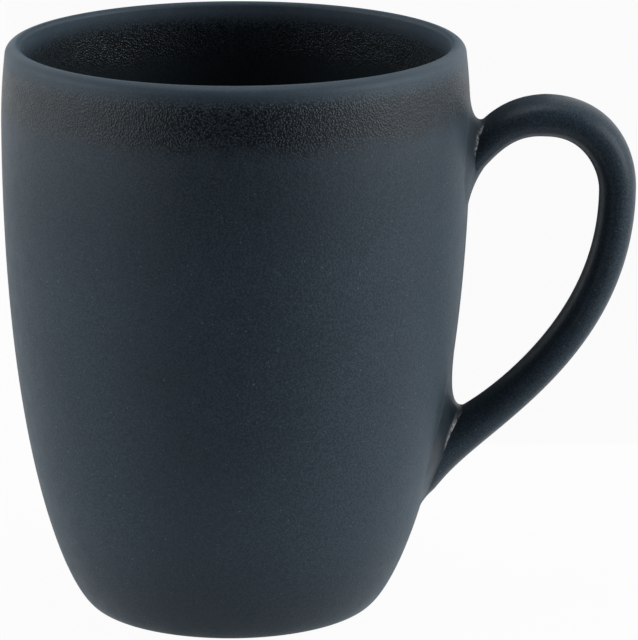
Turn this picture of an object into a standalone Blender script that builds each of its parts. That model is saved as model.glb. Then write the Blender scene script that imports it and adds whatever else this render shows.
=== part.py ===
# A ceramic mug: a turned body, a drawn oval handle, and the two slip joints that lute the handle on.
# All sizes are in metres and angles in degrees, about the mug's own axis, with the table at z = 0.

import math

import bmesh
import bpy
from mathutils import Vector

# Body
BODY_RADIUS = 0.0425  # outside, at the belly
BELLY_HEIGHT = 0.0890
BODY_HEIGHT = 0.1046  # table to the crest of the lip
LIP_RADIUS = 0.00195  # of the lip's outer round, which ends at the crest
LIP_INNER_RADIUS = 0.00085
LIP_DRAW_IN = 0.0008  # how far the lip's outside stands in from the belly
FOOT_RADIUS = 0.0259
HEEL_ANGLE = 17.0  # how steeply the outside leaves the table
HEEL_PULL = 0.0043
BELLY_PULL = 0.0610
WALL = LIP_RADIUS + LIP_INNER_RADIUS
FLOOR_TOP = 0.0064
FLOOR_CORNER_RISE = 0.0075  # height above the floor at which the inner wall starts to turn
FLOOR_CORNER_RUN = 0.0085
FOOT_RING_WIDTH = 0.0042
RECESS_DEPTH = 0.0016
RECESS_SLOPE = 0.0014
RECESS_BULGE = 0.65  # share of the depth reached halfway down the slope

# Handle, an oval section swept along a path in the XZ plane
HANDLE_THICKNESS = 0.0069  # in the plane of the loop, halfway along
HANDLE_WIDTH = 0.0122
HANDLE_TAPER = 0.10  # share of the section lost from the upper end to the lower one
CROWN_REACH = 0.0561
CROWN_HEIGHT = 0.09095
LOOP_REACH = 0.0695
LOOP_HEIGHT = 0.0762
UPPER_ROOT = (0.0370, 0.0770)
UPPER_ROOT_ANGLE = 50.0
UPPER_ROOT_PULL = 0.0114
CROWN_PULL_IN = 0.0079
CROWN_PULL_OUT = 0.0088
LOOP_PULL_UP = 0.0079
LOOP_PULL_DOWN = 0.0270
LOWER_ROOT = (0.0310, 0.0220)
LOWER_ROOT_ANGLE = 42.0
LOWER_ROOT_PULL = 0.0200

# Slip joints, pads of dried slip between the wall and the handle's mitred ends
CLEARANCE = 0.0003
JOINT_HEIGHT = 0.0020  # from the wall to the seam with the handle
JOINT_SPREAD = 0.0040  # how far the fillet runs out over the wall at the flanks
JOINT_SPREAD_BIAS = 0.0010  # more than that above the handle, less below it
JOINT_EDGE = 0.00015  # thickness of the feathered edge

# Where the handle's lines are looked for on the wall, in runs along the handle from its upper root
UPPER_REACH = (0.0, 1.0)
LOWER_REACH = (3.0, 2.4)
HALVINGS = 40
TANGENT_STEP = 0.001

# Facets
TURN_STEPS = 60
HEEL_TO_BELLY_STEPS = 16
LIP_STEPS = 4  # for each of the lip's two rounds
SHOULDER_STEPS = 3
CORNER_STEPS = 6
SECTION_SIDES = 24
RUN_STEPS = (12, 12, 18)
FILLET_STEPS = 5
PAD_RINGS = 3
SMOOTH_ANGLE = math.radians(40.0)
MERGE_DISTANCE = 0.00001

SLATE_GLAZE = (0.034, 0.043, 0.052, 1.0)
GLAZE_ROUGHNESS = 0.55


def bezier(start, start_pull, end_pull, end, at):
    """Point at a fraction of a cubic curve, given its two ends and their control points."""
    keep = 1.0 - at
    return (
        start * keep**3
        + start_pull * (3.0 * keep**2 * at)
        + end_pull * (3.0 * keep * at**2)
        + end * at**3
    )


def polar(angle, length):
    """A step of some length at an angle above the horizontal, in a vertical plane."""
    return Vector((length * math.cos(math.radians(angle)), length * math.sin(math.radians(angle))))


def outer_wall():
    """The outside in (radius, height), from the lip's widest point down to the table."""
    lip_outside = BODY_RADIUS - LIP_DRAW_IN
    lip_height = BODY_HEIGHT - LIP_RADIUS
    shoulder_rise = lip_height - BELLY_HEIGHT
    points = []
    for step in range(SHOULDER_STEPS):
        rise = shoulder_rise * (1.0 - step / SHOULDER_STEPS)
        draw_in = (BODY_RADIUS - lip_outside) * (rise / shoulder_rise) ** 2
        points.append(Vector((BODY_RADIUS - draw_in, BELLY_HEIGHT + rise)))
    belly = Vector((BODY_RADIUS, BELLY_HEIGHT))
    foot = Vector((FOOT_RADIUS, 0.0))
    for step in range(HEEL_TO_BELLY_STEPS + 1):
        points.append(
            bezier(
                belly,
                belly - Vector((0.0, BELLY_PULL)),
                foot + polar(HEEL_ANGLE, HEEL_PULL),
                foot,
                step / HEEL_TO_BELLY_STEPS,
            )
        )
    return points


def offset(points, distance):
    """The same outline moved outwards by a distance along its normals."""
    moved = []
    for index, point in enumerate(points):
        before = points[max(index - 1, 0)]
        after = points[min(index + 1, len(points) - 1)]
        along = (after - before).normalized()
        moved.append(point + Vector((-along.y, along.x)) * distance)
    return moved


def inner_wall():
    """The inside from the centre of the floor up to the lip, one wall thickness in from the outside."""
    wall = [point for point in offset(outer_wall(), -WALL) if point.y > FLOOR_TOP + FLOOR_CORNER_RISE]
    last = wall[-1]
    along = (last - wall[-2]).normalized()
    corner = last + along * ((FLOOR_TOP - last.y) / along.y)
    floor_edge = corner - Vector((FLOOR_CORNER_RUN, 0.0))
    turn = []
    for step in range(1, CORNER_STEPS + 1):
        at = step / CORNER_STEPS
        turn.append(last * (1.0 - at) ** 2 + corner * (2.0 * at * (1.0 - at)) + floor_edge * at**2)
    centre = Vector((0.0, FLOOR_TOP))
    return [centre] + turn[::-1] + wall[::-1]


def lip():
    """A tight round from the inner wall up to the crest, then a wider one, short of the outer wall."""
    crest = Vector((BODY_RADIUS - LIP_DRAW_IN - LIP_RADIUS, BODY_HEIGHT))
    inner_centre = crest - Vector((0.0, LIP_INNER_RADIUS))
    outer_centre = crest - Vector((0.0, LIP_RADIUS))
    points = []
    for step in range(LIP_STEPS):
        points.append(inner_centre + polar(180.0 - 90.0 * step / LIP_STEPS, LIP_INNER_RADIUS))
    for step in range(LIP_STEPS):
        points.append(outer_centre + polar(90.0 - 90.0 * step / LIP_STEPS, LIP_RADIUS))
    return points


def foot_ring():
    """The inner edge of the ring that the mug stands on, and the shallow recess inside it."""
    ring_inside = FOOT_RADIUS - FOOT_RING_WIDTH
    return [
        Vector((ring_inside, 0.0)),
        Vector((ring_inside - RECESS_SLOPE / 2.0, RECESS_DEPTH * RECESS_BULGE)),
        Vector((ring_inside - RECESS_SLOPE, RECESS_DEPTH)),
        Vector((0.0, RECESS_DEPTH)),
    ]


def turned_object(name, outline, collection):
    """A profile in (radius, height) with a Screw modifier round the mug's axis."""
    mesh = bpy.data.meshes.new(name)
    edges = [(index, index + 1) for index in range(len(outline) - 1)]
    mesh.from_pydata([(point.x, 0.0, point.y) for point in outline], edges, [])
    turned = bpy.data.objects.new(name, mesh)
    collection.objects.link(turned)
    screw = turned.modifiers.new("Turn", "SCREW")
    screw.axis = "Z"
    screw.steps = TURN_STEPS
    screw.render_steps = TURN_STEPS
    screw.use_merge_vertices = True
    screw.merge_threshold = MERGE_DISTANCE
    screw.use_smooth_shade = True
    return turned


def handle_runs():
    """The handle's centre line: root to crown, crown to the outermost point, and down to the lower root."""
    upper = Vector(UPPER_ROOT)
    crown = Vector((CROWN_REACH, CROWN_HEIGHT))
    outermost = Vector((LOOP_REACH, LOOP_HEIGHT))
    lower = Vector(LOWER_ROOT)
    return (
        (
            upper,
            upper + polar(UPPER_ROOT_ANGLE, UPPER_ROOT_PULL),
            crown - Vector((CROWN_PULL_IN, 0.0)),
            crown,
        ),
        (
            crown,
            crown + Vector((CROWN_PULL_OUT, 0.0)),
            outermost + Vector((0.0, LOOP_PULL_UP)),
            outermost,
        ),
        (
            outermost,
            outermost - Vector((0.0, LOOP_PULL_DOWN)),
            lower + polar(LOWER_ROOT_ANGLE, LOWER_ROOT_PULL),
            lower,
        ),
    )


def handle_centre(along):
    """Point on the centre line; along runs from 0 at the upper root to the number of runs."""
    runs = handle_runs()
    run = min(int(along), len(runs) - 1)
    return bezier(*runs[run], along - run)


def handle_swell(along):
    """Scale of the handle's section, which thins towards the lower end."""
    return 1.0 + HANDLE_TAPER * (0.5 - along / len(RUN_STEPS))


def handle_skin(along, turn):
    """Point on the handle's surface, at an angle round its section from the outside of the loop."""
    ends = (max(along - TANGENT_STEP, 0.0), min(along + TANGENT_STEP, float(len(RUN_STEPS))))
    forward = (handle_centre(ends[1]) - handle_centre(ends[0])).normalized()
    swell = handle_swell(along)
    out = math.cos(turn) * HANDLE_THICKNESS / 2.0 * swell
    side = math.sin(turn) * HANDLE_WIDTH / 2.0 * swell
    middle = handle_centre(along)
    return Vector((middle.x - forward.y * out, side, middle.y + forward.x * out))


def oval_section(collection):
    """The handle's oval, a closed guide curve for the sweep."""
    data = bpy.data.curves.new("handle_section", "CURVE")
    data.dimensions = "2D"
    spline = data.splines.new("POLY")
    spline.points.add(SECTION_SIDES - 1)
    for index, point in enumerate(spline.points):
        turn = 2.0 * math.pi * index / SECTION_SIDES
        across = HANDLE_WIDTH / 2.0 * math.cos(turn)
        through = HANDLE_THICKNESS / 2.0 * math.sin(turn)
        point.co = (across, through, 0.0, 1.0)
    spline.use_cyclic_u = True
    section = bpy.data.objects.new("handle_section", data)
    collection.objects.link(section)
    hide_from_build(section)
    return section


def swept_handle(name, parts, guides):
    """The oval swept along the centre line, as a closed mesh whose ends run into the wall."""
    section = oval_section(guides)
    data = bpy.data.curves.new("handle_path", "CURVE")
    data.dimensions = "3D"
    data.bevel_mode = "OBJECT"
    data.bevel_object = section
    data.use_fill_caps = True
    stations = [0.0]
    for run, steps in enumerate(RUN_STEPS):
        stations += [run + (step + 1) / steps for step in range(steps)]
    spline = data.splines.new("POLY")
    spline.points.add(len(stations) - 1)
    for point, along in zip(spline.points, stations):
        middle = handle_centre(along)
        point.co = (middle.x, 0.0, middle.y, 1.0)
        point.radius = handle_swell(along)
    path = bpy.data.objects.new("handle_path", data)
    parts.objects.link(path)

    evaluated = path.evaluated_get(bpy.context.evaluated_depsgraph_get())
    mesh = bpy.data.meshes.new_from_object(evaluated)
    mesh.name = name
    welded = bmesh.new()
    welded.from_mesh(mesh)
    bmesh.ops.remove_doubles(welded, verts=welded.verts, dist=MERGE_DISTANCE)
    bmesh.ops.recalc_face_normals(welded, faces=welded.faces)
    welded.to_mesh(mesh)
    welded.free()
    handle = bpy.data.objects.new(name, mesh)
    handle.matrix_world = path.matrix_world
    parts.objects.link(handle)
    bpy.data.objects.remove(path)
    return handle


def wall_frame(height):
    """Radius of the outer wall at a height, with the wall's outward normal in (radius, height)."""
    outline = outer_wall()
    for upper, lower in zip(outline, outline[1:]):
        if lower.y <= height <= upper.y:
            along = (lower - upper).normalized()
            share = (height - upper.y) / (lower.y - upper.y)
            return upper.lerp(lower, share).x, Vector((-along.y, along.x))
    raise ValueError("height is off the wall")


def wall_gap(point):
    """How far a point stands off the outer wall."""
    radius, normal = wall_frame(point.z)
    return (math.hypot(point.x, point.y) - radius) * normal.x


def stand_off(turn, root, free, gap):
    """Point of one line along the handle, found by halving, that stands off the wall by a gap."""
    for _ in range(HALVINGS):
        middle = (root + free) / 2.0
        if wall_gap(handle_skin(middle, turn)) < gap:
            root = middle
        else:
            free = middle
    return handle_skin(root, turn)


def on_wall(point, gap):
    """A point near the wall as (distance round, height, gap), read at the foot of its normal."""
    radius, normal = wall_frame(point.z)
    return Vector((math.atan2(point.y, point.x) * radius, point.z - gap * normal.y, gap))


def off_wall(place):
    """The reverse of on_wall."""
    radius, normal = wall_frame(place.y)
    turn = place.x / radius
    reach = radius + place.z * normal.x
    return Vector((reach * math.cos(turn), reach * math.sin(turn), place.y + place.z * normal.y))


def spread_outline(outline):
    """The joint's footprint: its outline on the wall moved outwards, further above than below."""
    middle = sum(outline, Vector((0.0, 0.0, 0.0))) / len(outline)
    footprint = []
    for index, place in enumerate(outline):
        along = outline[(index + 1) % len(outline)] - outline[index - 1]
        away = Vector((along.y, -along.x, 0.0)).normalized()
        if away.dot(place - middle) < 0.0:
            away.negate()
        footprint.append(place + away * (JOINT_SPREAD + JOINT_SPREAD_BIAS * away.y))
    return footprint


def joint_rings(root, free):
    """Closed rings of one joint, from the middle of its seam, over its fillet, to the middle of its back."""
    turns = [2.0 * math.pi * index / SECTION_SIDES for index in range(SECTION_SIDES)]
    rest = CLEARANCE + JOINT_EDGE
    seam = [on_wall(stand_off(turn, root, free, JOINT_HEIGHT), JOINT_HEIGHT) for turn in turns]
    crease = [on_wall(stand_off(turn, root, free, rest), rest) for turn in turns]
    edge = spread_outline(crease)
    rings = []
    for ring in range(1, PAD_RINGS):
        rings.append(shrink(seam, ring / PAD_RINGS))
    for step in range(FILLET_STEPS + 1):
        at = step / FILLET_STEPS
        rings.append(
            [
                start * (1.0 - at) ** 2 + bend * (2.0 * at * (1.0 - at)) + end * at**2
                for start, bend, end in zip(seam, crease, edge)
            ]
        )
    back = [Vector((place.x, place.y, CLEARANCE)) for place in edge]
    for ring in range(PAD_RINGS, 0, -1):
        rings.append(shrink(back, ring / PAD_RINGS))
    return rings


def shrink(ring, share):
    """A ring drawn in towards its middle, at the same gap to the wall."""
    middle = sum(ring, Vector((0.0, 0.0, 0.0))) / len(ring)
    return [middle.lerp(place, share) for place in ring]


def slip_joint(name, root, free, collection):
    """A saddle-backed pad lofted from the handle's oval seam to its wider footprint on the wall."""
    rings = joint_rings(root, free)
    loft = bmesh.new()
    rows = [[loft.verts.new(off_wall(place)) for place in ring] for ring in rings]
    for row, following in zip(rows, rows[1:]):
        for index in range(SECTION_SIDES):
            beside = (index + 1) % SECTION_SIDES
            loft.faces.new((row[index], row[beside], following[beside], following[index]))
    for row, ring in ((rows[0], rings[0]), (rows[-1], rings[-1])):
        middle = loft.verts.new(off_wall(shrink(ring, 0.0)[0]))
        for index in range(SECTION_SIDES):
            loft.faces.new((row[index], row[(index + 1) % SECTION_SIDES], middle))
    bmesh.ops.recalc_face_normals(loft, faces=loft.faces)
    mesh = bpy.data.meshes.new(name)
    loft.to_mesh(mesh)
    loft.free()
    joint = bpy.data.objects.new(name, mesh)
    collection.objects.link(joint)
    return joint


def mitre_handle(handle, cutters):
    """Trim the handle's ends to the shape of the wall, clear of the slip joints' seams."""
    skin = offset(outer_wall(), JOINT_HEIGHT + CLEARANCE)
    outline = [Vector((0.0, skin[0].y))] + skin + [Vector((0.0, skin[-1].y))]
    cutter = turned_object("seam_cutter", outline, cutters)
    hide_from_build(cutter)
    mitre = handle.modifiers.new("Mitre", "BOOLEAN")
    mitre.operation = "DIFFERENCE"
    mitre.solver = "EXACT"
    mitre.object = cutter
    return cutter


def hide_from_build(helper):
    helper.hide_render = True
    helper.display_type = "WIRE"


def shade_round(piece):
    piece.data.shade_smooth()
    piece.data.set_sharp_from_angle(angle=SMOOTH_ANGLE)


def glaze(name):
    """Matte slate glaze."""
    material = bpy.data.materials.new(name)
    material.use_nodes = True
    shader = material.node_tree.nodes["Principled BSDF"]
    shader.inputs["Base Color"].default_value = SLATE_GLAZE
    shader.inputs["Roughness"].default_value = GLAZE_ROUGHNESS
    shader.inputs["Metallic"].default_value = 0.0
    return material


def new_collection(name):
    collection = bpy.data.collections.new(name)
    bpy.context.scene.collection.children.link(collection)
    return collection


def main():
    for leftover in list(bpy.data.objects):
        bpy.data.objects.remove(leftover)
    parts = new_collection("ceramic_mug")
    cutters = new_collection("cutters")

    # The object's origin is under the middle of its box, so the mug's axis stands to one side of it.
    overhang = LOOP_REACH + HANDLE_THICKNESS / 2.0 - BODY_RADIUS
    axis = bpy.data.objects.new("mug_axis", None)
    axis.location = (-overhang / 2.0, 0.0, 0.0)
    parts.objects.link(axis)

    body = turned_object("mug_body", inner_wall()[:-1] + lip() + outer_wall() + foot_ring(), parts)
    handle = swept_handle("handle", parts, cutters)
    shade_round(handle)
    seam_cutter = mitre_handle(handle, cutters)
    upper = slip_joint("upper_slip_joint", *UPPER_REACH, parts)
    lower = slip_joint("lower_slip_joint", *LOWER_REACH, parts)
    for joint in (upper, lower):
        shade_round(joint)
    for piece in (body, handle, upper, lower):
        piece.data.materials.append(glaze(piece.name + "_glaze"))
    for piece in (body, handle, upper, lower, seam_cutter):
        piece.parent = axis


main()
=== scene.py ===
import math

import bmesh
import bpy
import numpy as np
from mathutils import Matrix, Vector


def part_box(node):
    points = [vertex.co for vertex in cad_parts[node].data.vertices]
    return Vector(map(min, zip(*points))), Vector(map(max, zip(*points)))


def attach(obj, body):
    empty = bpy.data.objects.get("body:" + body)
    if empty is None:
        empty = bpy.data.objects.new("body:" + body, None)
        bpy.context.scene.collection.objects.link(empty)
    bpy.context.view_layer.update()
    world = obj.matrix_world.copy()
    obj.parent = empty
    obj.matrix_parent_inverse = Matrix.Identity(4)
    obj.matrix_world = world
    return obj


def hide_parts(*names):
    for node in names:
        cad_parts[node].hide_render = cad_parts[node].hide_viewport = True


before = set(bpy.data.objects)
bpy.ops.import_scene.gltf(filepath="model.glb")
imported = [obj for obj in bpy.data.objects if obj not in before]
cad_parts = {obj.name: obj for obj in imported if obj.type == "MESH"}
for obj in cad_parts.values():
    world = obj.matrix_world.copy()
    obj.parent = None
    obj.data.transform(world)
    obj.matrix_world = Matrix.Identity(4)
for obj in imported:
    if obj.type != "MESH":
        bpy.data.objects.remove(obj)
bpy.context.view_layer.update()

bodyLow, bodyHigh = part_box("mug_body")
axisX = (bodyLow.x + bodyHigh.x) / 2  # the mug's own axis; the frame's origin is under the whole box
mm = 0.001


# Node helpers

def node(tree, kind, inputs=None, **settings):
    made = tree.nodes.new(kind)
    for name, value in settings.items():
        setattr(made, name, value)
    for name, value in (inputs or {}).items():
        if isinstance(value, bpy.types.NodeSocket):
            tree.links.new(value, made.inputs[name])
        else:
            made.inputs[name].default_value = value
    return made


def calc(tree, operation, first, second=0.0):
    return node(tree, "ShaderNodeMath", {0: first, 1: second}, operation=operation).outputs[0]


def product(tree, first, *others):
    for other in others:
        first = calc(tree, "MULTIPLY", first, other)
    return first


def total(tree, first, *others):
    for other in others:
        first = calc(tree, "ADD", first, other)
    return first


def restOf(tree, share):
    return calc(tree, "SUBTRACT", 1.0, share)


def ramp(tree, value, low, high, fromLevel=0.0, toLevel=1.0):
    inputs = {"Value": value, "From Min": low, "From Max": high, "To Min": fromLevel, "To Max": toLevel}
    return node(tree, "ShaderNodeMapRange", inputs, interpolation_type="SMOOTHSTEP").outputs[0]


def fade(tree, value, low, high):  # 1 up to the low value and 0 from the high one on
    return ramp(tree, value, low, high, 1.0, 0.0)


def level(tree, share, none, full):  # from what no share gives to what a full one does
    return ramp(tree, share, 0.0, 1.0, none, full)


def blendColor(tree, share, first, second):
    made = node(tree, "ShaderNodeMix", data_type="RGBA")
    for index, value in ((0, share), (6, first), (7, second)):  # the sockets of its colour mode
        if isinstance(value, bpy.types.NodeSocket):
            tree.links.new(value, made.inputs[index])
        else:
            made.inputs[index].default_value = value if index == 0 else (*value, 1.0)
    return made.outputs[2]


# Glaze, in zones by height: bare foot, matt slate wall, a pebbled and glossier dip round the rim,
# smooth lip. Heights, radii and sizes are in mm here.

glazeLook = {
    "slate": (0.0345, 0.0530, 0.0720),
    "slateDeep": (0.0305, 0.0470, 0.0640),
    "inner": (0.0065, 0.0105, 0.0145),  # inside, below the lip: the slate darkened as painted shade of the interior
    "dip": (0.0125, 0.0180, 0.0262),
    "lip": (0.0430, 0.0620, 0.0820),
    "bareClay": (0.23, 0.20, 0.17),
    "seam": (0.42, 0.41, 0.42),
    "speck": (0.13, 0.13, 0.128),
    "pinhole": (0.006, 0.007, 0.008),
    # size, detail and roughness of each noise
    "slateClouds": (17.0, 3.0, 0.55),
    "mottle": (3.2, 3.0, 0.55),
    "dipEdge": (5.0, 5.0, 0.68),
    "grain": (0.24, 2.0, 0.60),
    "seamGaps": (0.7, 2.0, 0.55),
    # levels of a noise between which it takes effect
    "cloudLevels": (0.30, 0.70),
    "toneLevels": (0.25, 0.75),
    "roughLevels": (0.20, 0.80),
    "seamLevels": (0.36, 0.60),
    "mottleTone": 0.05,  # either way from the plain colour
    "grainTone": 0.20,
    "grainHeight": 0.006,
    "spotCell": 3.0,  # from one place for a speck or pinhole to the next
    "spotSize": (0.04, 0.075),  # in cells
    "speckPick": (0.94, 0.945),  # which cells have one
    "pinholePick": (0.085, 0.08),
    "dustCell": 0.9,  # from one fine pale dot to the next
    "dustSize": (0.10, 0.16),
    "dustPick": (0.45, 0.95),  # which cells have one, and how pale
    "dustTone": 3.0,
    "bareFoot": (0.04, 0.12),  # heights over which the clay of the foot ring goes under the glaze
    "dipLow": (90.5, 97.0),  # heights over which the dip fades in
    "dipHigh": (99.6, 103.4),  # and out again below the lip
    "lipStart": (99.0, 103.8),  # where its colour sets in
    "lipSmooth": (101.6, 103.6),  # where the pebbling ends
    "innerLip": 0.7,  # how much deeper the smooth lip reaches inside
    "dipReach": (42.6, 44.4),  # radii past which there is no dip, on the handle and its joints
    "dipWander": 1.0,  # how far its lower edge strays
    "dipGloss": (72.0, 97.0),  # its gloss starts lower down than its colour
    "upperPaintedShade": (60.0, 94.0, 0.84),  # heights over which painted shade darkens the slate towards the top, and to what share
    "paintedShadeReach": (43.0, 56.0),  # radii over which that painted shade fades out again, along the handle
    "lowerPaintedShade": (1.0, 24.0, 0.58),  # heights over which painted shade darkens it towards the foot
    "pebble": 0.36,  # size of the leathery pebbling
    "pebbleEdge": 0.75,  # in cells, from top to gap
    "pebbleSoftness": 0.5,
    "pebbleBend": (0.9, 0.35),  # how often in a mm their rows bend, and how far
    "pebbleHeight": (0.014, 0.075),  # wall and dip
    "pebbleToneAndGlints": (0.32, 0.95),  # the same two; thinner glaze on the tops, with painted glints on the tops and painted shade in the gaps
    "innerPebble": 0.75,  # share of the height inside
    "roughness": (0.56, 0.46, 0.50),  # wall, dip, lip
    "mottleRough": 0.05,  # either way from these
    "footRough": 0.3,  # added on bare clay
    "specular": 0.24,
    "specularTint": (0.80, 0.93, 1.0),
    "dipCoat": (0.12, 0.66),  # outside and inside
    "coat": 0.0,  # on the rest
    "coatRoughness": 0.28,
    "sheen": 0.17,
    "sheenRoughness": 0.45,
    "sheenTint": (0.62, 0.84, 1.0),
}


class Glaze:
    # one glaze in the making: its look, its tree, its place from the mug's axis, and the noises it shares
    def __init__(self, name, changes):
        self.look = glazeLook | changes
        self.material = bpy.data.materials.new(name)
        self.material.use_nodes = True
        self.tree = self.material.node_tree
        self.shader = self.tree.nodes["Principled BSDF"]
        local = node(self.tree, "ShaderNodeTexCoord").outputs["Object"]
        toAxis = {"Vector": local, "Location": (-axisX / mm, 0.0, 0.0), "Scale": (1 / mm, 1 / mm, 1 / mm)}
        self.place = node(self.tree, "ShaderNodeMapping", toAxis).outputs[0]
        self.mottle = self.cloud("mottle")
        self.grain = self.cloud("grain")
        self.pebbles = self.leather()

    def attribute(self, name):
        return node(self.tree, "ShaderNodeAttribute", attribute_name=name).outputs["Fac"]

    def cloud(self, name):
        size, detail, roughness = self.look[name]
        inputs = {"Vector": self.place, "Scale": 1 / size, "Detail": detail, "Roughness": roughness}
        return node(self.tree, "ShaderNodeTexNoise", inputs).outputs["Fac"]

    def cells(self, size, channel):  # distance from the middle of a cell, and the cell's own number
        found = node(self.tree, "ShaderNodeTexVoronoi", {"Vector": self.place, "Scale": 1 / size}).outputs
        number = node(self.tree, "ShaderNodeSeparateColor", {0: found["Color"]}).outputs[channel]
        return found["Distance"], number

    def scaled(self, vector, factor):
        inputs = {0: vector, "Scale": factor}
        return node(self.tree, "ShaderNodeVectorMath", inputs, operation="SCALE").outputs[0]

    def leather(self):  # pebbles, on a place that is bent a little so that their rows don't show
        often, reach = self.look["pebbleBend"]
        bend = node(self.tree, "ShaderNodeTexNoise", {"Vector": self.place, "Scale": often, "Detail": 1.0})
        shift = {0: self.place, 1: self.scaled(bend.outputs["Color"], reach)}
        bent = node(self.tree, "ShaderNodeVectorMath", shift, operation="ADD").outputs[0]
        cells = {"Vector": bent, "Scale": 1 / self.look["pebble"]}
        cells["Smoothness"] = self.look["pebbleSoftness"]
        far = node(self.tree, "ShaderNodeTexVoronoi", cells, feature="SMOOTH_F1").outputs["Distance"]
        return fade(self.tree, far, 0.0, self.look["pebbleEdge"])


def glazeZones(glaze):
    tree, look = glaze.tree, glaze.look
    parts = node(tree, "ShaderNodeSeparateXYZ", {0: glaze.place}).outputs
    height = parts["Z"]
    squares = total(tree, product(tree, parts["X"], parts["X"]), product(tree, parts["Y"], parts["Y"]))
    radius = calc(tree, "SQRT", squares)
    onBody = fade(tree, radius, *look["dipReach"])
    inside = glaze.attribute("inside")
    wander = ramp(tree, glaze.cloud("dipEdge"), *look["cloudLevels"], -look["dipWander"], look["dipWander"])
    strayed = total(tree, height, wander)
    lifted = total(tree, height, product(tree, inside, look["innerLip"]))
    belowLip = product(tree, fade(tree, lifted, *look["dipHigh"]), onBody)
    lip = product(tree, ramp(tree, lifted, *look["lipStart"]), onBody)
    # painted shade, darker towards the top and towards the foot
    low, high, upperShare = look["upperPaintedShade"]
    above = product(tree, ramp(tree, height, low, high), fade(tree, radius, *look["paintedShadeReach"]))
    upperPaintedShade = level(tree, calc(tree, "SUBTRACT", above, lip), 1.0, upperShare)
    low, high, lowerShare = look["lowerPaintedShade"]
    lowerPaintedShade = ramp(tree, height, low, high, lowerShare, 1.0)
    return {
        "inside": inside,
        "dip": product(tree, ramp(tree, strayed, *look["dipLow"]), belowLip),
        "gloss": product(tree, ramp(tree, strayed, *look["dipGloss"]), belowLip),
        "lip": lip,
        "smooth": product(tree, ramp(tree, lifted, *look["lipSmooth"]), onBody),
        "foot": fade(tree, height, *look["bareFoot"]),
        "paintedShadeByHeight": product(tree, upperPaintedShade, lowerPaintedShade),
    }


def shadeBesideJoints(glaze, inside):  # painted shade on the wall round each joint, where the handle shades it and darkens its reflection, and the lower roughness there
    tree = glaze.tree
    parts = node(tree, "ShaderNodeSeparateXYZ", {0: glaze.place}).outputs
    elsewhere = total(tree, inside, fade(tree, parts["X"], *jointSizes["jointShadeSide"]))
    paintedJointShade, glossier = 0.0, 0.0
    for which in ("upper", "lower"):
        height, upward, across, gloss = jointSizes[which]["jointShade"]
        rise = calc(tree, "DIVIDE", calc(tree, "SUBTRACT", parts["Z"], height), upward)
        aside = calc(tree, "DIVIDE", parts["Y"], across)
        far = calc(tree, "SQRT", total(tree, product(tree, rise, rise), product(tree, aside, aside)))
        near = fade(tree, total(tree, far, elsewhere), jointSizes["jointShadeCore"], 1.0)
        paintedJointShade = total(tree, near, paintedJointShade)
        glossier = total(tree, product(tree, near, gloss), glossier)
    return paintedJointShade, glossier


def glazeColor(glaze, zone, paintedJointShade, hasSeam):
    tree, look = glaze.tree, glaze.look

    def eitherWay(noise, amount):
        return ramp(tree, noise, *look["toneLevels"], 1 - amount, 1 + amount)

    clouds = ramp(tree, glaze.cloud("slateClouds"), *look["cloudLevels"])
    color = blendColor(tree, clouds, look["slateDeep"], look["slate"])
    # the inside takes a darker colour, painted shade of the interior
    for name, finish in (("dip", "dip"), ("inside", "inner"), ("lip", "lip")):
        color = blendColor(tree, zone[name], color, look[finish])
    mottled = eitherWay(glaze.mottle, look["mottleTone"])
    # mottle and grain, with the painted shade by height
    tone = product(tree, mottled, zone["paintedShadeByHeight"], eitherWay(glaze.grain, look["grainTone"]))
    # dark gaps and paler tops of the pebbles: thinner glaze on the tops, with painted shade in the gaps and
    # painted glints on the tops
    pebbled = restOf(tree, zone["smooth"])
    depth = product(tree, level(tree, zone["dip"], *look["pebbleToneAndGlints"]), pebbled)
    topOrGap = product(tree, calc(tree, "SUBTRACT", glaze.pebbles, 0.5), depth, 2.0)
    color = glaze.scaled(color, product(tree, tone, total(tree, topOrGap, 1.0)))
    # a few pale specks and dark pinholes, picked out of a sparse cell pattern
    distance, pick = glaze.cells(look["spotCell"], "Red")
    inSpot = fade(tree, distance, *look["spotSize"])
    for name, chosen in (("speck", "speckPick"), ("pinhole", "pinholePick")):
        share = product(tree, inSpot, ramp(tree, pick, *look[chosen]))
        color = blendColor(tree, share, color, look[name])
    # fine pale dust, on all but the smooth lip
    distance, pick = glaze.cells(look["dustCell"], "Green")
    dust = product(tree, fade(tree, distance, *look["dustSize"]), ramp(tree, pick, *look["dustPick"]))
    dust = product(tree, dust, pebbled)
    color = glaze.scaled(color, level(tree, dust, 1.0, look["dustTone"]))
    # painted shade on the wall round the joints
    if paintedJointShade is not None:
        color = glaze.scaled(color, level(tree, paintedJointShade, 1.0, jointSizes["jointShadeTone"]))
    if hasSeam:
        # painted shade in the concave fillet
        color = glaze.scaled(color, level(tree, glaze.attribute("pool"), 1.0, jointSizes["filletShadeTone"]))
        unbroken = ramp(tree, glaze.cloud("seamGaps"), *look["seamLevels"])
        seam = product(tree, glaze.attribute("seam"), unbroken)
        color = blendColor(tree, seam, color, look["seam"])
    return blendColor(tree, zone["foot"], color, look["bareClay"])


def glazeRelief(glaze, zone):
    tree, look = glaze.tree, glaze.look
    height = level(tree, zone["dip"], *look["pebbleHeight"])
    height = product(tree, height, restOf(tree, zone["smooth"]))
    height = product(tree, height, level(tree, zone["inside"], 1.0, look["innerPebble"]))
    grain = product(tree, glaze.grain, look["grainHeight"])
    relief = total(tree, product(tree, glaze.pebbles, height), grain)
    return node(tree, "ShaderNodeBump", {"Height": relief, "Distance": mm, "Strength": 1.0}).outputs[0]


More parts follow.
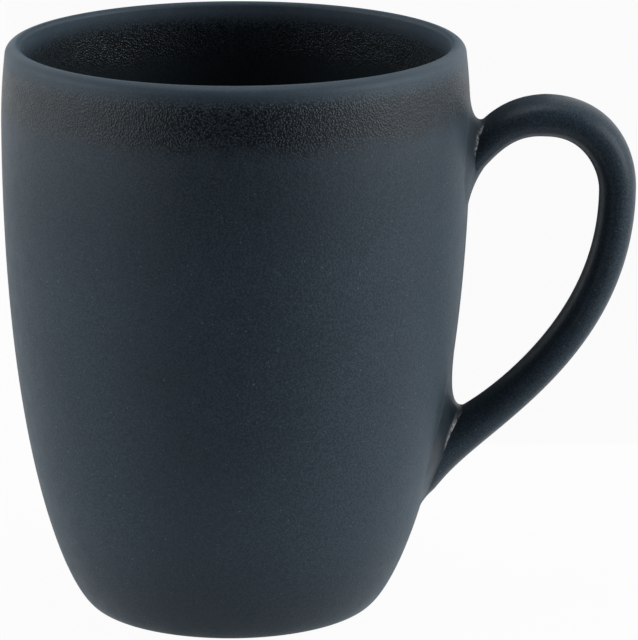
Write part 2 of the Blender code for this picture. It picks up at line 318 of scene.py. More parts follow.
def glazeMaterial(name, hasSeam=False, shadeNearJoints=True, **changes):
    glaze = Glaze(name, changes)
    tree, look, sockets = glaze.tree, glaze.look, glaze.shader.inputs
    zone = glazeZones(glaze)
    dip, inside = zone["dip"], zone["inside"]
    paintedJointShade, glossier = shadeBesideJoints(glaze, inside) if shadeNearJoints else (None, None)
    wallRough, dipRough, lipRough = look["roughness"]
    rough = level(tree, dip, wallRough, dipRough)
    rough = total(tree, rough, product(tree, zone["lip"], lipRough - wallRough))
    mottled = ramp(tree, glaze.mottle, *look["roughLevels"], -look["mottleRough"], look["mottleRough"])
    rough = total(tree, rough, mottled, product(tree, zone["foot"], look["footRough"]))
    if glossier is not None:
        rough = calc(tree, "SUBTRACT", rough, glossier)
    outerCoat, innerCoat = look["dipCoat"]
    outer = product(tree, zone["gloss"], restOf(tree, inside), outerCoat)
    coat = total(tree, outer, product(tree, dip, inside, innerCoat), look["coat"])
    relief = glazeRelief(glaze, zone)
    tree.links.new(glazeColor(glaze, zone, paintedJointShade, hasSeam), sockets["Base Color"])
    tree.links.new(rough, sockets["Roughness"])
    tree.links.new(coat, sockets["Coat Weight"])
    tree.links.new(relief, sockets["Normal"])
    tree.links.new(relief, sockets["Coat Normal"])
    sockets["Specular IOR Level"].default_value = look["specular"]
    sockets["Specular Tint"].default_value = (*look["specularTint"], 1.0)
    sockets["Coat Roughness"].default_value = look["coatRoughness"]
    sockets["Sheen Weight"].default_value = look["sheen"]
    sockets["Sheen Roughness"].default_value = look["sheenRoughness"]
    sockets["Sheen Tint"].default_value = (*look["sheenTint"], 1.0)
    return glaze.material


# Turned body: one outline of curves swept round the axis

bodySizes = {
    "Belly Radius": (bodyHigh.x - bodyLow.x) / 2,
    "Body Height": bodyHigh.z,
    "Belly Height": 89.0 * mm,
    "Belly Pull": 61.0 * mm,
    "Foot Radius": 25.9 * mm,
    "Heel Run": 4.11 * mm,  # where the curve of the wall heads as it leaves the foot
    "Heel Rise": 1.26 * mm,
    "Lip Radius": 1.95 * mm,  # of the outer round, up to the crest
    "Lip Inner Radius": 0.85 * mm,
    "Lip Draw In": 0.8 * mm,
    "Floor Top": 6.4 * mm,
    "Corner Share": 0.865,  # share of the inner wall's length at which it turns into the floor
    "Corner Run": 8.5 * mm,
    "Ring Width": 4.2 * mm,
    "Recess Depth": 1.6 * mm,
    "Recess Slope": 1.4 * mm,
    "Foot Drift": -1.1 * mm,  # the fired wall leans a little, from the belly down
    "Drift Ease": 1.4,
}
bodySteps = {
    "Turn Steps": 256,
    "Wall Steps": 110,
    "Shoulder Steps": 24,
    "Lip Steps": 14,
    "Corner Steps": 16,
}
circlePull = 0.5523  # share of a quarter circle's radius at which a cubic curve's pulls follow it
weldDistance = 0.002 * mm
sharpAngle = 50.0  # degrees between faces past which an edge is sharp


def turnedBodyTree():
    tree = bpy.data.node_groups.new("turned_body", "GeometryNodeTree")
    tree.interface.new_socket("Geometry", in_out="OUTPUT", socket_type="NodeSocketGeometry")
    sockets = {}
    for name in bodySizes:
        sockets[name] = tree.interface.new_socket(name, in_out="INPUT", socket_type="NodeSocketFloat")
    for name in bodySteps:
        sockets[name] = tree.interface.new_socket(name, in_out="INPUT", socket_type="NodeSocketInt")
    sockets["Glaze"] = tree.interface.new_socket("Glaze", in_out="INPUT", socket_type="NodeSocketMaterial")
    given = node(tree, "NodeGroupInput").outputs

    def less(first, second):
        return calc(tree, "SUBTRACT", first, second)

    def flat(x, y):
        return node(tree, "ShaderNodeCombineXYZ", {"X": x, "Y": y}).outputs[0]

    def parts(vector):
        return node(tree, "ShaderNodeSeparateXYZ", {0: vector}).outputs

    def at(radius, rise):  # the sweep measures out from the belly, and down
        return flat(less(radius, given["Belly Radius"]), product(tree, rise, -1.0))

    def arch(start, middle, end, steps):
        inputs = {"Start": start, "Middle": middle, "End": end, "Resolution": steps}
        return node(tree, "GeometryNodeCurveQuadraticBezier", inputs).outputs[0]

    def bow(start, startPull, endPull, end, steps):
        ends = {"Start": start, "Start Handle": startPull, "End Handle": endPull, "End": end}
        inputs = ends | {"Resolution": steps}
        return node(tree, "GeometryNodeCurvePrimitiveBezierSegment", inputs, mode="POSITION").outputs[0]

    def straight(start, end):
        return node(tree, "GeometryNodeCurvePrimitiveLine", {"Start": start, "End": end}).outputs[0]

    def moved(shape, offset):
        return node(tree, "GeometryNodeSetPosition", {"Geometry": shape, "Offset": offset}).outputs[0]

    def markInside(curve, value=1.0):
        inputs = {"Geometry": curve, "Name": "inside", "Value": value}
        kind = {"data_type": "FLOAT", "domain": "POINT"}
        return node(tree, "GeometryNodeStoreNamedAttribute", inputs, **kind).outputs[0]

    belly, foot, bellyHeight = given["Belly Radius"], given["Foot Radius"], given["Belly Height"]
    top, lipRadius, innerRadius = given["Body Height"], given["Lip Radius"], given["Lip Inner Radius"]
    lipSteps, cornerSteps = given["Lip Steps"], given["Corner Steps"]
    lipHeight = less(top, lipRadius)
    lipOutside = less(belly, given["Lip Draw In"])
    wall = total(tree, lipRadius, innerRadius)

    # outside: shoulder, then one long curve down to the foot
    lipEdge, bellyEdge = at(lipOutside, lipHeight), at(belly, bellyHeight)
    halfway = product(tree, total(tree, lipHeight, bellyHeight), 0.5)
    shoulder = arch(lipEdge, at(belly, halfway), bellyEdge, given["Shoulder Steps"])
    bellyPull = at(belly, less(bellyHeight, given["Belly Pull"]))
    heelPull = at(total(tree, foot, given["Heel Run"]), given["Heel Rise"])
    flank = bow(bellyEdge, bellyPull, heelPull, at(foot, 0.0), given["Wall Steps"])

    # lip: a wide round outside the crest and a tight one inside it
    crest = less(lipOutside, lipRadius)
    inner, innerHeight = less(lipOutside, wall), less(top, innerRadius)
    widePull = product(tree, lipRadius, circlePull)
    tightPull = product(tree, innerRadius, circlePull)
    climb = at(lipOutside, total(tree, lipHeight, widePull))
    wide = bow(lipEdge, climb, at(total(tree, crest, widePull), top), at(crest, top), lipSteps)
    drop = at(inner, total(tree, innerHeight, tightPull))
    tight = bow(at(crest, top), at(less(crest, tightPull), top), drop, at(inner, innerHeight), lipSteps)
    brink = straight(at(inner, innerHeight), at(inner, lipHeight))
    fromCrest = node(tree, "GeometryNodeSplineParameter").outputs["Factor"]

    # inside: the outside again, one wall further in, turning into the floor
    inward = flat(product(tree, wall, -1.0), 0.0)
    innerShoulder = moved(shoulder, inward)
    trim = {"Curve": moved(flank, inward), 3: given["Corner Share"]}  # 3 is the end that stays
    innerFlank = node(tree, "GeometryNodeTrimCurve", trim).outputs[0]
    lastPoint = {"Curves": innerFlank, "Factor": 1.0}
    end = node(tree, "GeometryNodeSampleCurve", lastPoint, mode="FACTOR").outputs
    endAt, heading = parts(end["Position"]), parts(end["Tangent"])
    floorLevel = product(tree, given["Floor Top"], -1.0)
    stretch = calc(tree, "DIVIDE", less(floorLevel, endAt["Y"]), heading["Y"])
    cornerX = total(tree, endAt["X"], product(tree, heading["X"], stretch))
    floorEdge = flat(less(cornerX, given["Corner Run"]), floorLevel)
    corner = arch(end["Position"], flat(cornerX, floorLevel), floorEdge, cornerSteps)
    floor = straight(floorEdge, at(0.0, given["Floor Top"]))

    # underside: ring and recess
    recessTop = given["Recess Depth"]
    ringInside = less(foot, given["Ring Width"])
    recessEdge = at(less(ringInside, given["Recess Slope"]), recessTop)
    ring = straight(at(foot, 0.0), at(ringInside, 0.0))
    slope = arch(at(ringInside, 0.0), at(ringInside, recessTop), recessEdge, cornerSteps)
    recess = straight(recessEdge, at(0.0, recessTop))

    outline = node(tree, "GeometryNodeJoinGeometry")
    insides = [markInside(curve) for curve in (brink, innerShoulder, innerFlank, corner, floor)]
    for curve in (shoulder, flank, wide, markInside(tight, fromCrest), *insides, ring, slope, recess):
        tree.links.new(curve, outline.inputs[0])
    ringPath = {"Resolution": given["Turn Steps"], "Radius": belly}
    circle = node(tree, "GeometryNodeCurvePrimitiveCircle", ringPath, mode="RADIUS").outputs[0]
    sweep = {"Curve": circle, "Profile Curve": outline.outputs[0]}
    turned = node(tree, "GeometryNodeCurveToMesh", sweep).outputs[0]
    doubles = {"Geometry": turned, "Distance": weldDistance}
    welded = node(tree, "GeometryNodeMergeByDistance", doubles).outputs[0]

    # lean of the fired wall
    height = parts(node(tree, "GeometryNodeInputPosition").outputs[0])["Z"]
    below = calc(tree, "MAXIMUM", less(1.0, calc(tree, "DIVIDE", height, bellyHeight)), 0.0)
    lean = product(tree, calc(tree, "POWER", below, given["Drift Ease"]), given["Foot Drift"])
    leaning = moved(welded, flat(lean, 0.0))

    smooth = node(tree, "GeometryNodeSetShadeSmooth", {"Geometry": leaning}).outputs[0]
    real = node(tree, "GeometryNodeRealizeInstances", {"Geometry": smooth}).outputs[0]
    finish = {"Geometry": real, "Material": given["Glaze"]}
    glazed = node(tree, "GeometryNodeSetMaterial", finish).outputs[0]
    node(tree, "NodeGroupOutput", {"Geometry": glazed})
    return tree, {name: socket.identifier for name, socket in sockets.items()}


def facesOut(mesh):  # turns the faces outwards, and counts the edges left open
    shape = bmesh.new()
    shape.from_mesh(mesh)
    bmesh.ops.recalc_face_normals(shape, faces=shape.faces)
    shape.to_mesh(mesh)
    openEdges = sum(1 for edge in shape.edges if len(edge.link_faces) != 2)
    shape.free()
    return openEdges


def finishPiece(name, mesh, nodeName):
    openEdges = facesOut(mesh)
    mesh.name = name
    piece = bpy.data.objects.new(name, mesh)
    bpy.context.scene.collection.objects.link(piece)
    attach(piece, "root")
    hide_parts(nodeName)
    triangles = sum(len(face.vertices) - 2 for face in mesh.polygons)
    print(f"{name}: {triangles} triangles, {openEdges} open edges")


def makeBody():
    tree, identifiers = turnedBodyTree()
    blank = bpy.data.objects.new("turned_body_blank", bpy.data.meshes.new("turned_body_blank"))
    bpy.context.scene.collection.objects.link(blank)
    lathe = blank.modifiers.new("Lathe", "NODES")
    lathe.node_group = tree
    for name, value in (bodySizes | bodySteps | {"Glaze": glazeMaterial("body_glaze")}).items():
        lathe[identifiers[name]] = value
    evaluated = blank.evaluated_get(bpy.context.evaluated_depsgraph_get())
    mesh = bpy.data.meshes.new_from_object(evaluated)
    mesh.transform(Matrix.Translation((axisX, 0.0, 0.0)))
    bpy.data.objects.remove(blank)
    mesh.set_sharp_from_angle(angle=math.radians(sharpAngle))
    finishPiece("glazed_body", mesh, "mug_body")


# The outer wall as numbers, for what is luted on to it

wallPoints = {"flank": 1200, "shoulder": 300}


def bezier(at, start, startPull, endPull, end):
    left = 1 - at
    return left**3 * start + 3 * left**2 * at * startPull + 3 * left * at**2 * endPull + at**3 * end


def cubic(points, count):
    return bezier(np.linspace(0.0, 1.0, count)[:, None], *(np.array(point) for point in points))


def outerWall():
    size = bodySizes
    belly, bellyHeight = size["Belly Radius"], size["Belly Height"]
    foot = (size["Foot Radius"], 0.0)
    heel = (size["Foot Radius"] + size["Heel Run"], size["Heel Rise"])
    bellyPull = (belly, bellyHeight - size["Belly Pull"])
    flank = cubic([foot, heel, bellyPull, (belly, bellyHeight)], wallPoints["flank"])
    shoulderRise = size["Body Height"] - size["Lip Radius"] - bellyHeight
    rise = np.linspace(0.0, 1.0, wallPoints["shoulder"])[1:]
    shoulder = np.stack([belly - size["Lip Draw In"] * rise**2, bellyHeight + shoulderRise * rise], 1)
    line = np.concatenate([flank, shoulder])
    along = np.gradient(line, axis=0)
    along /= np.linalg.norm(along, axis=1)[:, None]
    return line, np.stack([along[:, 1], -along[:, 0]], 1)


wallLine, wallNormals = outerWall()


def wallAt(height):  # its radius, the two parts of its normal, and its lean
    radius = np.interp(height, wallLine[:, 1], wallLine[:, 0])
    out = np.interp(height, wallLine[:, 1], wallNormals[:, 0])
    up = np.interp(height, wallLine[:, 1], wallNormals[:, 1])
    below = np.clip(1 - height / bodySizes["Belly Height"], 0.0, 1.0)
    return radius, out, up, bodySizes["Foot Drift"] * below ** bodySizes["Drift Ease"]


def wallGap(points):
    radius, out, _, lean = wallAt(points[..., 2])
    return (np.hypot(points[..., 0] - lean, points[..., 1]) - radius) * out


def ontoWall(points):  # distance round, height, and gap, read at the foot of the wall's normal
    gap = wallGap(points)
    _, _, up, _ = wallAt(points[..., 2])
    height = points[..., 2] - gap * up
    radius, _, _, lean = wallAt(height)
    return np.stack([np.arctan2(points[..., 1], points[..., 0] - lean) * radius, height, gap], -1)


def offWall(places):  # and back again
    radius, out, up, lean = wallAt(places[..., 1])
    turn = places[..., 0] / radius
    reach = radius + places[..., 2] * out
    x = reach * np.cos(turn) + lean
    return np.stack([x, reach * np.sin(turn), places[..., 1] + places[..., 2] * up], -1)


# Handle: a rounded oval drawn along three curves, thinning downwards and flaring where it lands on the wall

handleSizes = {
    "thickness": 7.16 * mm,  # at the crown
    "width": 12.2 * mm,
    "sectionPower": 2.3,  # 2 is an ellipse; more is squarer
    "waist": 0.34,  # thinner by this share at the upper root
    "taper": 0.175,  # narrower all round by this share at the lower root
    "shoulderSwell": 0.085,  # thicker on the bend after the crown
    "shoulderSpan": 0.13,
    "upperRoot": (37.68 * mm, 76.74 * mm),
    "upperPull": (6.31 * mm, 7.56 * mm),
    "crown": (55.96 * mm, 90.88 * mm),
    "crownPulls": (8.94 * mm, 9.68 * mm),  # before it and after it
    "outermost": (69.43 * mm, 77.0 * mm),
    "outermostPulls": (5.94 * mm, 32.73 * mm),
    "lowerRoot": (30.95 * mm, 22.0 * mm),
    "lowerPull": (6.10 * mm, 8.40 * mm),
    "lowerRun": 5.0 * mm,  # straight length past the lower root, inside the wall
    "flare": 2.1 * mm,
    "flareReach": 4.4 * mm,
    "flareAcross": 0.5,  # share of it across the handle
    "flareStart": (0.75, 0.90),  # shares of the loop over which it sets in
    "tipRound": 0.08,  # share of the flare that is lost again, close to the wall
    "tipReach": 0.8 * mm,
    "rootDepth": 0.8 * mm,  # how far the ends reach into the wall
    "curvePoints": 800,
    "runPoints": 200,
    "sides": 96,
    "rings": 300,
    # what differs from the wall's glaze
    "glaze": {"roughness": (0.46, 0.46, 0.50), "sheen": 0.05, "specular": 0.15, "coat": 0.10},
}


def handleLine():
    size = handleSizes
    crown, outermost = np.array(size["crown"]), np.array(size["outermost"])
    upper, lower = np.array(size["upperRoot"]), np.array(size["lowerRoot"])
    lowerPull = np.array(size["lowerPull"])
    beforeCrown, afterCrown = size["crownPulls"]
    beforeOutermost, afterOutermost = size["outermostPulls"]
    runs = (
        (upper, upper + size["upperPull"], crown - (beforeCrown, 0.0), crown),
        (crown, crown + (afterCrown, 0.0), outermost + (0.0, beforeOutermost), outermost),
        (outermost, outermost - (0.0, afterOutermost), lower + lowerPull, lower),
    )
    line = np.concatenate([cubic(run, size["curvePoints"])[:-1] for run in runs] + [lower[None]])
    share = np.linspace(0.0, 1.0, len(line))
    onwards = lowerPull / np.linalg.norm(lowerPull) * size["lowerRun"]
    onwards = lower - onwards * np.linspace(0.0, 1.0, size["runPoints"])[1:, None]
    line = np.concatenate([line, onwards])
    share = np.concatenate([share, np.ones(len(onwards))])
    length = np.concatenate([[0.0], np.cumsum(np.linalg.norm(np.diff(line, axis=0), axis=1))])
    along = np.stack([np.gradient(line[:, 0], length), np.gradient(line[:, 1], length)], 1)
    return line, along, length, share


handlePath, handleAlong, handleLength, handleShare = handleLine()
crownShare, shoulderShare = 1 / 3, 1 / 2  # each of the three curves is a third of the loop's share
clearShare = 0.8  # where the lower end is well clear of the wall


def easeIn(value, low, high):
    share = np.clip((value - low) / (high - low), 0.0, 1.0)
    return share * share * (3 - 2 * share)


def handleSkin(length, turn, scale=1.0):  # turn 0 is the outside of the loop
    size = handleSizes

    def read(values):
        return np.interp(length, handleLength, values)

    power = size["sectionPower"]
    rounding = (np.abs(np.cos(turn)) ** power + np.abs(np.sin(turn)) ** power) ** (-1 / power)
    outward, sideways = np.cos(turn) * rounding, np.sin(turn) * rounding
    share = read(handleShare)
    narrow = np.interp(share, (crownShare, 1.0), (1.0, 1 - size["taper"]))
    waist = np.interp(share, (0.0, crownShare), (size["waist"], 0.0))
    shoulder = size["shoulderSwell"] * np.exp(-(((share - shoulderShare) / size["shoulderSpan"]) ** 2))
    halfThickness = scale * size["thickness"] / 2 * (narrow - waist + shoulder)
    halfWidth = scale * size["width"] / 2 * narrow

    def skin(flare):
        out = outward * (halfThickness + flare)
        side = sideways * (halfWidth + flare * size["flareAcross"])
        x = read(handlePath[:, 0]) - read(handleAlong[:, 1]) * out
        z = read(handlePath[:, 1]) + read(handleAlong[:, 0]) * out
        return np.stack([x, side, z], -1)

    gap = np.maximum(wallGap(skin(0.0)), 0.0)
    spread = np.exp(-gap / size["flareReach"]) * (1 - size["tipRound"] * np.exp(-gap / size["tipReach"]))
    return skin(size["flare"] * spread * easeIn(share, *size["flareStart"]))


halvings = 40  # of the length in which a line's place is looked for


def standOff(turn, gap, root, free):  # where each line along the handle stands off the wall by a gap
    root = np.full_like(turn, root)
    free = np.full_like(turn, free)
    for _ in range(halvings):
        middle = (root + free) / 2
        inside = wallGap(handleSkin(middle, turn)) < gap
        root = np.where(inside, middle, root)
        free = np.where(inside, free, middle)
    return root


handleEnds = {
    "upper": (0.0, float(np.interp(crownShare, handleShare, handleLength))),
    "lower": (float(handleLength[-1]), float(np.interp(clearShare, handleShare, handleLength))),
}


def loftMesh(name, rows):  # rings joined by quads, with a fan at either end
    rows = np.asarray(rows)
    count, sides = rows.shape[:2]
    points = np.concatenate([rows.reshape(-1, 3), rows[0].mean(0)[None], rows[-1].mean(0)[None]])
    points[:, 0] += axisX
    faces = []
    for row in range(count - 1):
        for side in range(sides):
            here, beside = row * sides + side, row * sides + (side + 1) % sides
            faces.append((here, beside, beside + sides, here + sides))
    lastRow = (count - 1) * sides
    for side in range(sides):
        beside = (side + 1) % sides
        faces.append((beside, side, count * sides))
        faces.append((lastRow + side, lastRow + beside, count * sides + 1))
    mesh = bpy.data.meshes.new(name)
    mesh.from_pydata(points.tolist(), [], faces)
    mesh.shade_smooth()
    return mesh


def makeHandle():
    size = handleSizes
    turn = np.linspace(0.0, 2 * math.pi, size["sides"], endpoint=False)
    start = standOff(turn, -size["rootDepth"], *handleEnds["upper"])
    end = standOff(turn, -size["rootDepth"], *handleEnds["lower"])
    rows = [handleSkin(start + (end - start) * at, turn) for at in np.linspace(0.0, 1.0, size["rings"])]
    mesh = loftMesh("drawn_handle", rows)
    mesh.materials.append(glazeMaterial("handle_glaze", shadeNearJoints=False, **size["glaze"]))
    finishPiece("drawn_handle", mesh, "handle")


# Slip joints: fillets that lead from the handle's skin out on to the wall, with a fine bead along the seam

jointSizes = {
    # three values are for the outside of the loop, the flanks and the inside of the loop
    "upper": {
        "height": (3.3 * mm, 1.15 * mm, 3.6 * mm),  # where the fillet starts, off the wall
        "pull": (1.2 * mm, 0.38 * mm, 2.0 * mm),  # how near the wall it still follows the handle
        "spread": (8.6 * mm, 5.4 * mm, 3.4 * mm),  # how far out on the wall it ends
        "toe": (0.45, 0.80, 0.45),  # share of that from which it runs flat
        "outsideEase": 4,  # how soon the outside's values give way to the flanks'
        "spreadEase": 4,  # how soon the inside's spread and toe do
        "creaseTurns": (0.0, 80.0, 90.0, 150.0),  # degrees from the outside where a crease comes and goes
        "filletShadeTurns": (26.0, 92.0),  # between which painted shade darkens the fillet
        "seamTurns": (22.0, 68.0),  # between which thin glaze shows the seam
        # painted shade on the wall round the joint: its height, its reach up and across in mm, and its
        # gloss
        "jointShade": (92.0, 11.0, 19.0, 0.0),
    },
    "lower": {
        "height": (0.2 * mm, 1.7 * mm, 4.4 * mm),
        "pull": (0.08 * mm, 0.55 * mm, 1.5 * mm),
        "spread": (0.2 * mm, 6.0 * mm, 17.0 * mm),
        "toe": (0.4, 0.84, 0.34),
        "outsideEase": 1,
        "spreadEase": 8,
        "creaseTurns": (70.0, 112.0, 122.0, 150.0),
        "filletShadeTurns": (52.0, 156.0),
        "seamTurns": (109.0, 152.0),
        "jointShade": (38.0, 20.0, 18.5, 0.18),
    },
    "insideEase": 4,  # how soon the inside's height and pull give way to the flanks'
    "crease": 0.4,  # share of the way to the toe over which a creased fillet runs straight
    "filletShadeTone": 0.60,
    "filletShadeEdge": (0.0, 0.1),  # shares of the fillet's height over which the painted shade sets in
    "poolFade": 18.0,  # degrees either way
    "jointShadeTone": 0.54,
    "jointShadeCore": 0.5,  # share of its reach up to which it is full
    "jointShadeSide": (-1.0, 0.0),  # mm from the axis over which the handle's side of the wall starts
    "seamFade": 12.0,
    "seamWidth": 0.46 * mm,
    "bead": 0.22 * mm,
    "beadWidth": 0.45 * mm,
    "beadOut": 0.35 * mm,  # how far the ridge of the bead lies from the handle
    "sides": 160,
    "rings": 48,
    "ringEase": 1.5,  # closer together by the seam than by the toe
    "innerRows": ((1.0 * mm, 0.5), (0.4 * mm, 0.97)),  # inside the handle: how far up, share of its section
    "sink": 0.03 * mm,  # of the outer edge, under the wall
    "backDepth": 0.9 * mm,  # of the rows that close it inside the wall
    "backShares": (0.9, 0.45),
}


# eases between the three named sides; a high power keeps a value to the middle of its side
def around(values, turn, outsideEase, insideEase):
    outside, flank, inside = values
    toOutside = np.clip(np.cos(turn), 0.0, 1.0) ** outsideEase
    toInside = np.clip(-np.cos(turn), 0.0, 1.0) ** insideEase
    return flank + (outside - flank) * toOutside + (inside - flank) * toInside


def wallDirections(ring):  # across the wall, away from the middle of a ring that lies on it
    ahead = np.roll(ring, -1, axis=0) - np.roll(ring, 1, axis=0)
    away = np.stack([ahead[:, 1], -ahead[:, 0]], 1)
    away /= np.linalg.norm(away, axis=1)[:, None]
    outwards = np.sum(away * (ring - ring.mean(0))[:, :2], axis=1).mean()
    return away * math.copysign(1.0, outwards)


def makeJoint(which):
    size, own = jointSizes, jointSizes[which]
    turn = np.linspace(0.0, 2 * math.pi, size["sides"], endpoint=False)
    fromOutside = np.degrees(np.abs((turn + math.pi) % (2 * math.pi) - math.pi))
    root, free = handleEnds[which]
    along = math.copysign(1.0, free - root)

    def onHandle(gap):
        return ontoWall(handleSkin(standOff(turn, gap, root, free), turn))

    def eased(name, insideEase):
        return around(own[name], turn, own["outsideEase"], insideEase)

    def between(turns, soft):
        first, last = turns
        comes = easeIn(fromOutside, first - soft, first + soft)
        return comes * easeIn(-fromOutside, -last - soft, -last + soft)

    # the four rings that each curve of the fillet is drawn from
    height = eased("height", size["insideEase"])
    seam = onHandle(height)
    pull = onHandle(eased("pull", size["insideEase"]))
    meet = onHandle(np.zeros_like(turn))
    meet[:, 2] = 0.0
    spread = wallDirections(meet) * eased("spread", own["spreadEase"])[:, None]
    edge, toe = meet.copy(), meet.copy()
    edge[:, :2] += spread
    edge[:, 2] = -size["sink"]
    toe[:, :2] += spread * eased("toe", own["spreadEase"])[:, None]
    comes, full, eases, gone = own["creaseTurns"]
    creased = easeIn(fromOutside, comes, full) * easeIn(-fromOutside, -gone, -eases)
    pull += creased[:, None] * (seam + size["crease"] * (toe - seam) - pull)

    shown = between(own["seamTurns"], size["seamFade"])
    filletShaded = between(own["filletShadeTurns"], size["poolFade"])
    rows, marks, filletShades = [], [], []

    def addRow(points, mark=0.0, pool=0.0):
        rows.append(points)
        marks.append(np.zeros_like(turn) + mark)
        filletShades.append(np.zeros_like(turn) + pool)

    seamLength = standOff(turn, height, root, free)
    for rise, share in size["innerRows"]:
        addRow(handleSkin(seamLength + along * rise, turn, share))
    for at in np.linspace(0.0, 1.0, size["rings"]) ** size["ringEase"]:
        place = bezier(at, seam, pull, toe, edge)
        past = np.linalg.norm(place - seam, axis=1) - size["beadOut"]
        place[:, 2] += size["bead"] * np.exp(-((past / size["beadWidth"]) ** 2)) * shown
        mark = np.exp(-((past / size["seamWidth"]) ** 2)) * shown
        addRow(offWall(place), mark, easeIn(place[:, 2] / height, *size["filletShadeEdge"]) * filletShaded)
    middle = edge.mean(0)
    for share in size["backShares"]:
        back = middle + (edge - middle) * share
        back[:, 2] = -size["backDepth"]
        addRow(offWall(back))

    name = which + "_joint"
    mesh = loftMesh(name, rows)
    for label, values in (("seam", marks), ("pool", filletShades)):
        mark = mesh.attributes.new(label, "FLOAT", "POINT")
        mark.data.foreach_set("value", np.concatenate([*values, [0.0, 0.0]]).astype(np.float32))
    mesh.materials.append(glazeMaterial(which + "_joint_glaze", hasSeam=True))
    finishPiece(name, mesh, which + "_slip_joint")


# Studio: pale floor, white surroundings, dark cards before and behind the mug, and softboxes on either
# hand and above

studio = {
    "floorColor": (0.64, 0.64, 0.64),
    "floorRadius": 3.0,
    "floorSides": 128,
    "floorDrop": 0.05 * mm,  # below the foot
    "floorGlow": 0.96,
    "surroundings": 0.42,
    "aimHeight": 0.05,  # of the lights, on the mug's axis
    "rightBox": {"place": (0.93, -0.20, 0.38), "size": (0.70, 0.75), "watts": 7.2},
    "leftBox": {"place": (-0.95, -0.12, 0.32), "size": (1.1, 0.62), "watts": 4.2},
    "topBox": {"place": (0.0, 0.02, 0.95), "size": (0.45, 0.35), "watts": 1.2},
    "cardColor": (0.03, 0.03, 0.03),
    "cardRoughness": 0.9,
    # X on either hand, Y and Z at each bend; the front card runs over the floor, up and back overhead
    "frontCard": (
        (-0.06, 0.05, -0.09, 0.5 * mm),
        (-1.3, 0.9, -1.7, 0.5 * mm),
        (-1.5, 1.5, -1.7, 1.7),
        (-1.5, 1.5, -0.3, 1.7),
    ),
    "backCard": ((-0.055, 0.085, 0.10, 0.5 * mm), (-0.09, 0.12, 0.65, 0.5 * mm)),
    # stands close behind the mug, and only its mirror image counts
    "backFlag": (
        (-0.06, 0.06, 0.16, 0.5 * mm),
        (-0.06, 0.06, 0.16, 0.12),
        (-0.08, 0.06, 0.16, 0.13),
        (-0.08, 0.06, 0.16, 0.34),
    ),
}
white = (1.0, 1.0, 1.0, 1.0)


def rayIsSeen(tree):  # camera, glossy and transmission rays see the plain background
    ray = node(tree, "ShaderNodeLightPath").outputs
    seen = calc(tree, "MAXIMUM", ray["Is Camera Ray"], ray["Is Glossy Ray"])
    return calc(tree, "MAXIMUM", seen, ray["Is Transmission Ray"])


def makeFloor():
    bpy.ops.mesh.primitive_circle_add(
        vertices=studio["floorSides"],
        radius=studio["floorRadius"],
        fill_type="NGON",
        location=(0.0, 0.0, -studio["floorDrop"]),
    )
    floor = bpy.context.object
    floor.name = "studio_floor"
    material = bpy.data.materials.new("studio_floor")
    material.use_nodes = True
    tree = material.node_tree
    tree.nodes.clear()
    paint = node(tree, "ShaderNodeBsdfDiffuse", {"Color": (*studio["floorColor"], 1.0)}).outputs[0]
    glow = node(tree, "ShaderNodeEmission", {"Color": white, "Strength": 1.0}).outputs[0]
    share = product(tree, rayIsSeen(tree), studio["floorGlow"])
    mixed = node(tree, "ShaderNodeMixShader", {0: share, 1: paint, 2: glow}).outputs[0]
    node(tree, "ShaderNodeOutputMaterial", {"Surface": mixed})
    floor.data.materials.append(material)


def makeCard(name, mirroredOnly=False):
    bends = studio[name]
    points = [(x, y, z) for left, right, y, z in bends for x in (left, right)]
    faces = [(2 * bend, 2 * bend + 1, 2 * bend + 3, 2 * bend + 2) for bend in range(len(bends) - 1)]
    mesh = bpy.data.meshes.new(name)
    mesh.from_pydata(points, [], faces)
    card = bpy.data.objects.new(name, mesh)
    bpy.context.scene.collection.objects.link(card)
    material = bpy.data.materials.new(name)
    material.use_nodes = True
    shader = material.node_tree.nodes["Principled BSDF"]
    shader.inputs["Base Color"].default_value = (*studio["cardColor"], 1.0)
    shader.inputs["Roughness"].default_value = studio["cardRoughness"]
    mesh.materials.append(material)
    card.visible_camera = False
    card.visible_diffuse = not mirroredOnly
    card.visible_shadow = not mirroredOnly


def makeLights():
    for name in ("rightBox", "leftBox", "topBox"):
        own = studio[name]
        data = bpy.data.lights.new(name, "AREA")
        data.shape = "RECTANGLE"
        data.size, data.size_y = own["size"]
        data.energy = own["watts"]
        lamp = bpy.data.objects.new(name, data)
        bpy.context.scene.collection.objects.link(lamp)
        lamp.location = own["place"]
        aim = Vector((axisX, 0.0, studio["aimHeight"])) - lamp.location
        lamp.rotation_euler = aim.to_track_quat("-Z", "Y").to_euler()


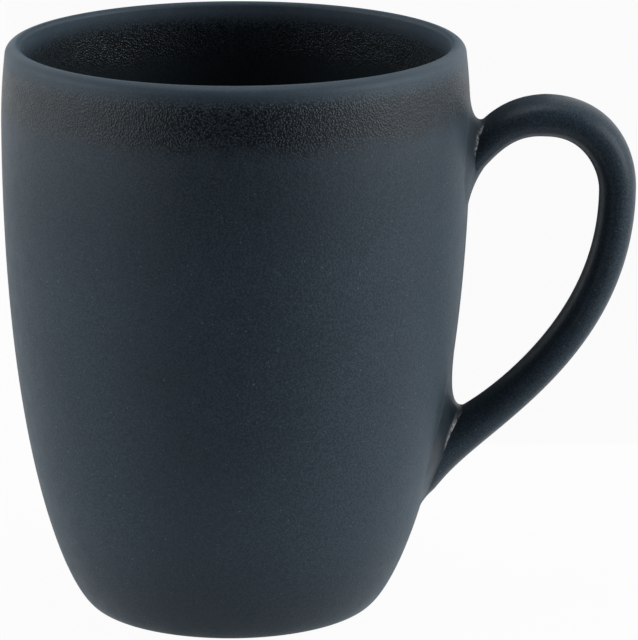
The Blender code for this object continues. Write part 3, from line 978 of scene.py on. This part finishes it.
def makeSurroundings():
    world = bpy.data.worlds.new("studio")
    world.use_nodes = True
    bpy.context.scene.world = world
    tree = world.node_tree
    tree.nodes.clear()
    strength = studio["surroundings"]
    dim = node(tree, "ShaderNodeBackground", {"Color": white, "Strength": strength}).outputs[0]
    full = node(tree, "ShaderNodeBackground", {"Color": white, "Strength": 1.0}).outputs[0]
    mixed = node(tree, "ShaderNodeMixShader", {0: rayIsSeen(tree), 1: dim, 2: full}).outputs[0]
    node(tree, "ShaderNodeOutputWorld", {"Surface": mixed})


# Camera

cameraSizes = {
    "back": 0.8068,
    "height": 0.2622,
    "pitch": 14.557,  # degrees, as yaw and roll are
    "yaw": 1.069,
    "roll": 0.040,
    "focalPixels": 4547.0,
    "imageHeight": 640,
    "sensor": 36.0,
    "farthest": 20.0,
}


def makeCamera():
    size = cameraSizes
    data = bpy.data.cameras.new("photo_camera")
    data.sensor_width = size["sensor"]
    data.lens = size["focalPixels"] * size["sensor"] / size["imageHeight"]
    data.clip_end = size["farthest"]
    camera = bpy.data.objects.new("photo_camera", data)
    bpy.context.scene.collection.objects.link(camera)
    pitch, yaw, roll = (math.radians(size[name]) for name in ("pitch", "yaw", "roll"))
    ahead = Vector((math.sin(yaw) * math.cos(pitch), math.cos(yaw) * math.cos(pitch), -math.sin(pitch)))
    across = Vector((math.cos(yaw), -math.sin(yaw), 0.0))
    upright = across.cross(ahead)
    right = across * math.cos(roll) + upright * math.sin(roll)
    up = upright * math.cos(roll) - across * math.sin(roll)
    turn = Matrix((right, up, -ahead)).transposed().to_4x4()
    camera.matrix_world = Matrix.Translation((axisX, -size["back"], size["height"])) @ turn
    bpy.context.scene.camera = camera


makeCamera()
print("camera at the photo's angle")
makeFloor()
makeCard("frontCard")
makeCard("backCard")
makeCard("backFlag", mirroredOnly=True)
makeLights()
makeSurroundings()
print("studio set")
makeBody()
makeHandle()
makeJoint("upper")
makeJoint("lower")
bpy.context.scene.view_settings.view_transform = "Standard"
